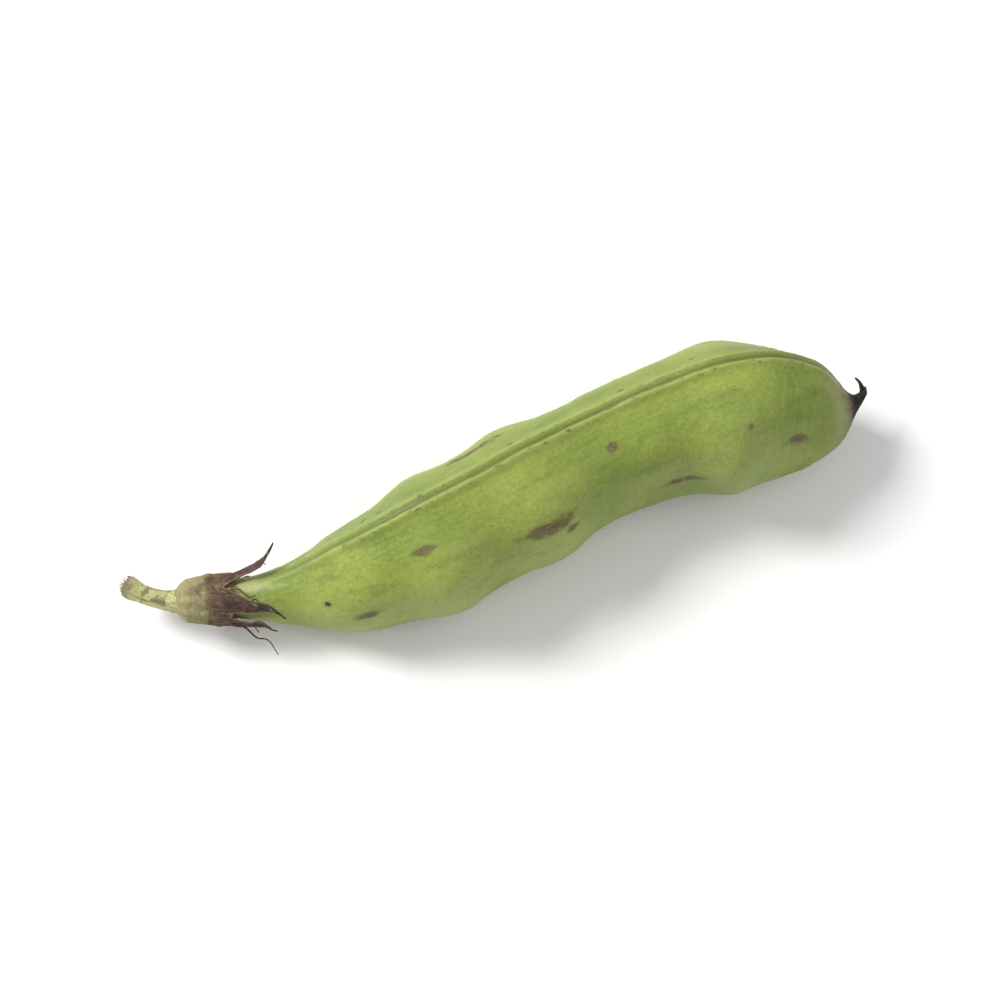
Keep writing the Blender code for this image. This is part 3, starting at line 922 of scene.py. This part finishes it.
def pod_relief(share, angle, straight, scar):
    """How far the fine skin stands out from the smooth one."""
    in_body = body_share(share)
    slack = np.clip(1.0 - swelling(share, BEAN_REACH), 0.0, 1.0) * in_body
    from_seam = np.abs(straight[..., 2])
    on_valve = smooth_step(*VALVE_STARTS, from_seam)
    lumps = LUMP_HEIGHT * bumps(straight, LUMP_SIZE, 2)
    lumps = lumps * (LUMPS_AT_ENDS + (1.0 - LUMPS_AT_ENDS) * in_body)
    dimples = DIMPLE_HEIGHT * bumps(straight, DIMPLE_SIZE, 3, shift=0.31)
    warp = [bumps(straight, VEIN_WARP_SIZE, shift=k) for k in (0.1, 0.2, 0.3)]
    net = cell_walls(straight + VEIN_WARP * np.stack(warp, axis=-1), VEIN_SIZE, VEIN_WIDTH)
    veins = VEIN_HEIGHT * net * on_valve
    crease = bumps(straight, CREASE_SIZE, 2, shift=0.17)
    creases = -CREASE_HEIGHT * hump(crease, CREASE_WIDTH) * slack * on_valve
    fibres = np.cos(2.0 * math.pi * from_seam / FIBRE_APART)
    fibres = FIBRE_HEIGHT * fibres * hump(from_seam, FIBRE_REACH) * on_valve
    at_neck = 1.0 - smooth_step(*SHRIVEL_NECK, share)
    at_beak = SHRIVEL_AT_BEAK * smooth_step(*SHRIVEL_BEAK, share)
    swing = SHRIVEL_SWING * bumps(straight, SHRIVEL_SWING_SIZE, shift=0.5)
    shrivels = SHRIVEL_HEIGHT * np.cos(SHRIVEL_FOLDS * angle + swing) * (at_neck + at_beak)
    sunk = -SCAR_DEPTH * smooth_step(*SCAR_SINKS, scar)
    size = np.clip(smooth_value(WIDTH_STATIONS, share) / RELIEF_FULL_WIDTH, RELIEF_LEAST, 1.0)
    return (lumps + dimples + veins + creases + fibres + shrivels + sunk) * size


def make_pod(material):
    share, angle, across, up, points = pod_grid(SKIN_RINGS, SKIN_AROUND, SKIN_CROWDING)
    share = np.broadcast_to(share, across.shape)
    straight = np.stack([share * CURVE_LENGTH, across, up], axis=-1)
    angle = np.broadcast_to(angle, across.shape)
    scar = scars(share, angle, straight)
    relief = pod_relief(share, angle, straight, scar)
    points = points + outward(points) * relief[..., None]
    z = points[..., 2]
    points[..., 2] = (z + np.sqrt(z * z + 4.0 * PRESS * PRESS)) / 2.0
    size = seam_size(share)
    ventral = np.cos(angle) > 0.0
    crown = np.clip(swelling(share, BEAN_REACH), 0.0, 1.0) * body_share(share) * np.sin(angle) ** 2
    attributes = {
        "flesh": straight * 1000.0,
        "share": share,
        "ridge": np.where(ventral, ridge_pair(up), hump(up, RIDGE_SPREAD)) * size,
        "groove": np.where(ventral, hump(up, GROOVE_SPREAD), 0.0) * size,
        # The darker band beside the ventral seam is painted shade; the skin's dark dots lie in it
        # too.
        "dotted_shade_band": np.where(ventral, hump(up - BAND_FROM_SEAM, BAND_SPREAD), 0.0) * size,
        "crown": crown,
        "scar": scar,
    }
    obj = grid_object("pod_skin_surface", points, True, attributes)
    obj.data.materials.append(material)
    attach(obj, "root")
    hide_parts("pod")


def off_skin(distance, angle, off):
    """Points that stand off the pod's skin, at distances along it from the neck's end."""
    share = distance / CURVE_LENGTH
    within = np.clip(share, 0.0, 1.0)
    across, up = section(within, angle, 1.0)
    grown = 1.0 + off / np.hypot(across, up)
    return placed(share, *rolled(within, across * grown, up * grown))


def make_calyx(material):
    """The solid's cup and teeth, thinner, crumpled and crinkled, with a torn rim between them."""
    teeth = len(CALYX_TEETH)
    columns = teeth * CALYX_COLUMNS_PER_TOOTH
    turn = np.arange(columns) / CALYX_COLUMNS_PER_TOOTH
    nearest = np.round(turn).astype(int) % teeth
    off_centre = np.abs(turn - np.round(turn)) * 2.0
    tooth = np.array(CALYX_TEETH)[nearest]
    point = np.clip(1.0 - off_centre / TOOTH_SPREAD, 0.0, 1.0) ** TOOTH_TAPER
    around = 2.0 * math.pi * turn / teeth
    circle = np.stack([np.zeros(columns), np.cos(around), np.sin(around)], axis=-1)
    rag = CALYX_RAG * bumps(circle * CALYX_RAG_RADIUS, CALYX_RAG_SIZE, 3) * (1.0 - point) ** 2
    height = CALYX_RIM - CALYX_BASE + tooth[:, 0] * point + rag
    step = np.linspace(0.0, 1.0, CALYX_ROWS)[:, None]
    distance = CALYX_BASE + step * height
    past = np.clip(distance - CALYX_RIM, 0.0, None) / tooth[:, 0]
    bend = past**TOOTH_CURL
    half_width = smooth_value(WIDTH_STATIONS, np.clip(distance / CURVE_LENGTH, 0.0, 1.0)) / 2.0
    angle = FIRST_TOOTH_ANGLE + around
    sheet = np.stack([distance, half_width * np.cos(angle), half_width * np.sin(angle)], axis=-1)
    loose = smooth_step(*CALYX_LOOSE, step)
    rib = CALYX_RIB_HEIGHT * np.cos(CALYX_RIBS * (angle - FIRST_TOOTH_ANGLE))
    crumple = CALYX_CRUMPLE * bumps(sheet, CALYX_CRUMPLE_SIZE, 2, shift=0.13) * loose
    crinkle = CALYX_CRINKLE * bumps(sheet, CALYX_CRINKLE_SIZE, 3) * loose
    off = smooth_value(CALYX_STATIONS, distance) + rib + crumple + crinkle + tooth[:, 1] * bend
    thick = CALYX_WALL + (CALYX_EDGE_WALL - CALYX_WALL) * smooth_step(*CALYX_THINS, step)
    off = np.where(distance > 0.0, np.maximum(off, thick + CALYX_LEAST_OFF), off)
    sway = TOOTH_SWAY * np.sin(2.0 * math.pi * past + nearest) * past
    angle = angle + (tooth[:, 2] * bend + sway) / (half_width + off)
    slope = np.gradient(half_width + off, axis=0) / np.gradient(distance, axis=0)
    slope = np.clip(slope, -1.0, 1.0)
    inward = thick / np.hypot(1.0, slope)
    outside = off_skin(distance, angle, off)
    inside = off_skin(distance + slope * inward, angle, off - inward * (1.0 + slope**2))
    points = np.concatenate([outside, inside[::-1]])
    margin = smooth_step(*CALYX_MARGIN, step) * (1.0 - point)
    reach = (distance - CALYX_BASE) / (CALYX_RIM - CALYX_BASE + CALYX_TEETH[0][0])
    attributes = {
        "sheet": np.concatenate([sheet, sheet[::-1]]) * 1000.0,
        "height": np.concatenate([reach, reach[::-1]]),
        "margin": np.concatenate([margin, margin[::-1]]),
    }
    obj = grid_object("calyx_sheet", points, False, attributes)
    obj.data.materials.append(material)
    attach(obj, "root")
    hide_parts("calyx")


def thread_grid(path, radii):
    """Rings of a thin thread along a path, a little knotty."""
    way = np.gradient(path, axis=0)
    way /= np.linalg.norm(way, axis=1, keepdims=True)
    side = np.cross(way, (0.0, 0.0, 1.0))
    side /= np.linalg.norm(side, axis=1, keepdims=True)
    over = np.cross(way, side)
    turn = 2.0 * math.pi * np.arange(THREAD_SIDES) / THREAD_SIDES
    ring = side[:, None] * np.cos(turn)[:, None] + over[:, None] * np.sin(turn)[:, None]
    knots = bumps(path[:, None] + ring * THREAD_KNOT_RADIUS, THREAD_KNOT_SIZE, 2)
    return path[:, None] + ring * (radii[:, None] * (1.0 + THREAD_KNOTS * knots))[..., None]


def make_threads(material):
    """Withered threads that start under the calyx's rim."""
    t = np.linspace(0.0, 1.0, THREAD_RINGS)
    radii = THREAD_RADIUS * (1.0 - THREAD_TAPER * t)
    for k, (start, angle, length, lift, swing, waves) in enumerate(THREADS):
        distance = start + length * (t - THREAD_SHORTENS * t**2)
        wave = 2.0 * math.pi * waves * t
        off = THREAD_FROM_SKIN + lift * t**THREAD_LIFT_POWER + THREAD_WAVE * np.sin(wave) * t
        half_width = smooth_value(WIDTH_STATIONS, distance / CURVE_LENGTH) / 2.0
        sideways = THREAD_WAVE * np.sin(wave + THREAD_WAVE_TURN) * t
        sideways = swing * t**THREAD_SWING_POWER + sideways
        path = off_skin(distance, angle + sideways / (half_width + off), off)
        points = thread_grid(path, radii)
        tone = THREAD_TONES[k % 2] + THREAD_DARKENS * t[:, None]
        attributes = {
            "sheet": points * 1000.0,
            "height": np.broadcast_to(tone, points.shape[:2]),
        }
        obj = grid_object(f"calyx_thread_{k + 1}", points, True, attributes)
        obj.data.materials.append(material)
        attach(obj, "root")


def make_style(material):
    """The dried style, which carries the beak's tip on and curls away from it."""
    t = np.linspace(0.0, 1.0, THREAD_RINGS)
    root, tip = (placed(share, 0.0, 0.0) for share in (STYLE_FROM, 1.0))
    ahead = (tip - root) / np.linalg.norm(tip - root)
    bent = np.array(STYLE_TOWARDS) - ahead * np.dot(ahead, STYLE_TOWARDS)
    bent /= np.linalg.norm(bent)
    curl = (STYLE_CURL * t**STYLE_CURL_POWER)[:, None]
    way = ahead * np.cos(curl) + bent * np.sin(curl)
    path = root + np.cumsum(way, axis=0) * STYLE_LENGTH / THREAD_RINGS
    points = thread_grid(path, STYLE_RADIUS * (1.0 - THREAD_TAPER * t))
    attributes = {"flesh": points * 1000.0, "share": np.ones(points.shape[:2])}
    obj = grid_object("dried_style", points, True, attributes)
    obj.data.materials.append(material)
    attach(obj, "root")


def stalk_path(u):
    """Centres and directions along the stalk, from under the calyx to its torn end."""
    start, along = in_plan(0.0)
    fine = np.linspace(0.0, 1.0, CURVE_SAMPLES)
    heading = math.atan2(-along[1], -along[0]) - STALK_BEND * fine
    way = np.stack([np.cos(heading), np.sin(heading)], axis=1)
    step = (STALK_LENGTH - GAP) / (CURVE_SAMPLES - 1)
    run = np.concatenate([[[0.0, 0.0]], np.cumsum((way[1:] + way[:-1]) / 2.0 * step, axis=0)])
    plan = start - along * GAP + run
    height = centre_height(0.0) - STALK_DROP * fine**2
    centre = np.stack([np.interp(u, fine, line) for line in (*plan.T, height)], axis=-1)
    turned = np.interp(u, fine, heading)
    return centre, np.stack([np.cos(turned), np.sin(turned), np.zeros_like(turned)], axis=-1)


def make_stalk(material):
    u = np.linspace(0.0, 1.0, STALK_RINGS)
    centre, way = stalk_path(u)
    side = np.stack([-way[:, 1], way[:, 0], way[:, 2]], axis=-1)
    turn = 2.0 * math.pi * np.arange(STALK_AROUND) / STALK_AROUND
    rib = STALK_RIB_HEIGHT * np.cos(STALK_RIBS * turn) * smooth_step(*STALK_RIBS_START, u)[:, None]
    radius = smooth_value(STALK_RADII, u)[:, None] + rib
    grain = np.stack(
        [
            np.broadcast_to(u[:, None] * STALK_LENGTH, radius.shape),
            radius * np.cos(turn),
            radius * np.sin(turn),
        ],
        axis=-1,
    )
    radius = radius + STALK_GRAIN * bumps(grain, STALK_GRAIN_SIZE, 3)
    tear = STALK_TEAR * bumps(grain, STALK_TEAR_SIZE, 2, shift=0.2)
    slant = STALK_CUT_SLANT * np.sin(turn) + tear
    slant = slant * smooth_step(STALK_CUT_FROM, 1.0, u)[:, None]
    points = centre[:, None] + side[:, None] * (radius * np.cos(turn))[..., None]
    points = points + way[:, None] * slant[..., None]
    points[..., 2] += radius * np.sin(turn)
    attributes = {
        "grain": grain * 1000.0,
        "height": np.broadcast_to(u[:, None], radius.shape),
    }
    obj = grid_object("stalk_rind", points, True, attributes)
    obj.data.materials.append(material)
    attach(obj, "root")
    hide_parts("stalk")


def make_fibres(material):
    """Short torn fibres that stand out of the stalk's end."""
    rng = np.random.default_rng(FIBRE_SEED)
    centre, way = (found[0] for found in stalk_path(np.array([FIBRE_ROOT])))
    side = np.array([-way[1], way[0], 0.0])
    up = np.array([0.0, 0.0, 1.0])
    vertices, faces = [], []
    sides = FIBRE_SIDES
    last = (FIBRE_RINGS - 1) * sides
    for _ in range(FIBRES):
        turn = rng.uniform(0.0, 2.0 * math.pi)
        off = STALK_RADII[-1][1] * math.sqrt(rng.uniform(*FIBRE_WITHIN))
        root = centre + side * off * math.cos(turn) + up * off * math.sin(turn)
        root = root + way * STALK_CUT_SLANT * math.sin(turn)
        length = rng.uniform(*FIBRE_LENGTHS)
        lean = side * rng.normal(0.0, FIBRE_LEAN) + up * rng.normal(0.0, FIBRE_LEAN)
        first = len(vertices)
        for t in np.linspace(0.0, 1.0, FIBRE_RINGS):
            middle = root + way * length * t + lean * length * t * t
            thick = FIBRE_RADIUS * (1.0 - FIBRE_TAPER * t)
            for j in range(sides):
                a = 2.0 * math.pi * j / sides
                vertices.append(middle + thick * (side * math.cos(a) + up * math.sin(a)))
        for ring in range(first, first + last, sides):
            for j in range(sides):
                a, b = ring + j, ring + (j + 1) % sides
                faces.append([a, b, b + sides, a + sides])
        faces.append([first + j for j in reversed(range(sides))])
        faces.append([first + last + j for j in range(sides)])
    vertices = np.array(vertices)
    mesh = bpy.data.meshes.new("stalk_fibres")
    mesh.from_pydata((vertices + SHIFT).tolist(), [], faces)
    grain = (vertices - centre) @ np.stack([way, side, up], axis=-1) + (STALK_LENGTH, 0.0, 0.0)
    made = mesh.attributes.new("grain", "FLOAT_VECTOR", "POINT")
    made.data.foreach_set("vector", (grain * 1000.0).astype(np.float32).ravel())
    made = mesh.attributes.new("height", "FLOAT", "POINT")
    made.data.foreach_set("value", np.ones(len(vertices), np.float32))
    mesh.shade_smooth()
    obj = bpy.data.objects.new("stalk_fibres", mesh)
    bpy.context.scene.collection.objects.link(obj)
    obj.data.materials.append(material)
    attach(obj, "root")


def make_stage():
    bpy.ops.mesh.primitive_plane_add(size=FLOOR_SIZE, location=(0.0, 0.0, 0.0))
    floor = bpy.context.object
    floor.name = "floor"
    n = Nodes("pale_floor")
    n.shader.inputs["Base Color"].default_value = (FLOOR_TONE, FLOOR_TONE, FLOOR_TONE, 1.0)
    n.shader.inputs["Roughness"].default_value = FLOOR_ROUGHNESS
    n.shader.inputs["Specular IOR Level"].default_value = FLOOR_SPECULAR
    floor.data.materials.append(n.material)


def add_light(name, place, size, power, colour):
    """A square soft light at this place that shines at the pod."""
    light = bpy.data.lights.new(name, "AREA")
    light.size = size
    light.energy = power
    light.color = colour
    obj = bpy.data.objects.new(name, light)
    obj.location = place
    obj.rotation_euler = (-Vector(place)).to_track_quat("-Z", "Y").to_euler()
    bpy.context.scene.collection.objects.link(obj)


def light_scene():
    world = bpy.data.worlds.new("studio")
    world.use_nodes = True
    sky = world.node_tree.nodes["Background"]
    sky.inputs["Color"].default_value = (1.0, 1.0, 1.0, 1.0)
    sky.inputs["Strength"].default_value = SKY_STRENGTH
    bpy.context.scene.world = world
    add_light("key", *KEY_LIGHT)
    add_light("fill", *FILL_LIGHT)
    bpy.context.scene.view_settings.view_transform = "Standard"


def add_camera():
    """Looks down at the pod at the photograph's angle, so that the pod rises to the right."""
    data = bpy.data.cameras.new("camera")
    data.lens = CAMERA_LENS
    data.sensor_width = SENSOR
    distance = POD_CHORD / POD_SHARE_OF_PICTURE * CAMERA_LENS / SENSOR
    camera = bpy.data.objects.new("camera", data)
    ahead = Vector((math.sin(POD_RISES), math.cos(POD_RISES), 0.0))
    back = -ahead * math.cos(CAMERA_ELEVATION) + Vector((0.0, 0.0, math.sin(CAMERA_ELEVATION)))
    low, high = (Vector(corner) for corner in CAD_BOX)
    camera.location = (low + high) / 2.0 + back * distance
    camera.rotation_euler = (-back).to_track_quat("-Z", "Y").to_euler()
    bpy.context.scene.collection.objects.link(camera)
    bpy.context.scene.camera = camera


def main():
    pod_skin = pod_skin_material()
    calyx_skin = calyx_skin_material()
    stalk_skin = stalk_skin_material()
    make_pod(pod_skin)
    make_calyx(calyx_skin)
    make_threads(calyx_skin)
    make_style(pod_skin)
    make_stalk(stalk_skin)
    make_fibres(stalk_skin)
    make_stage()
    light_scene()
    add_camera()


main()
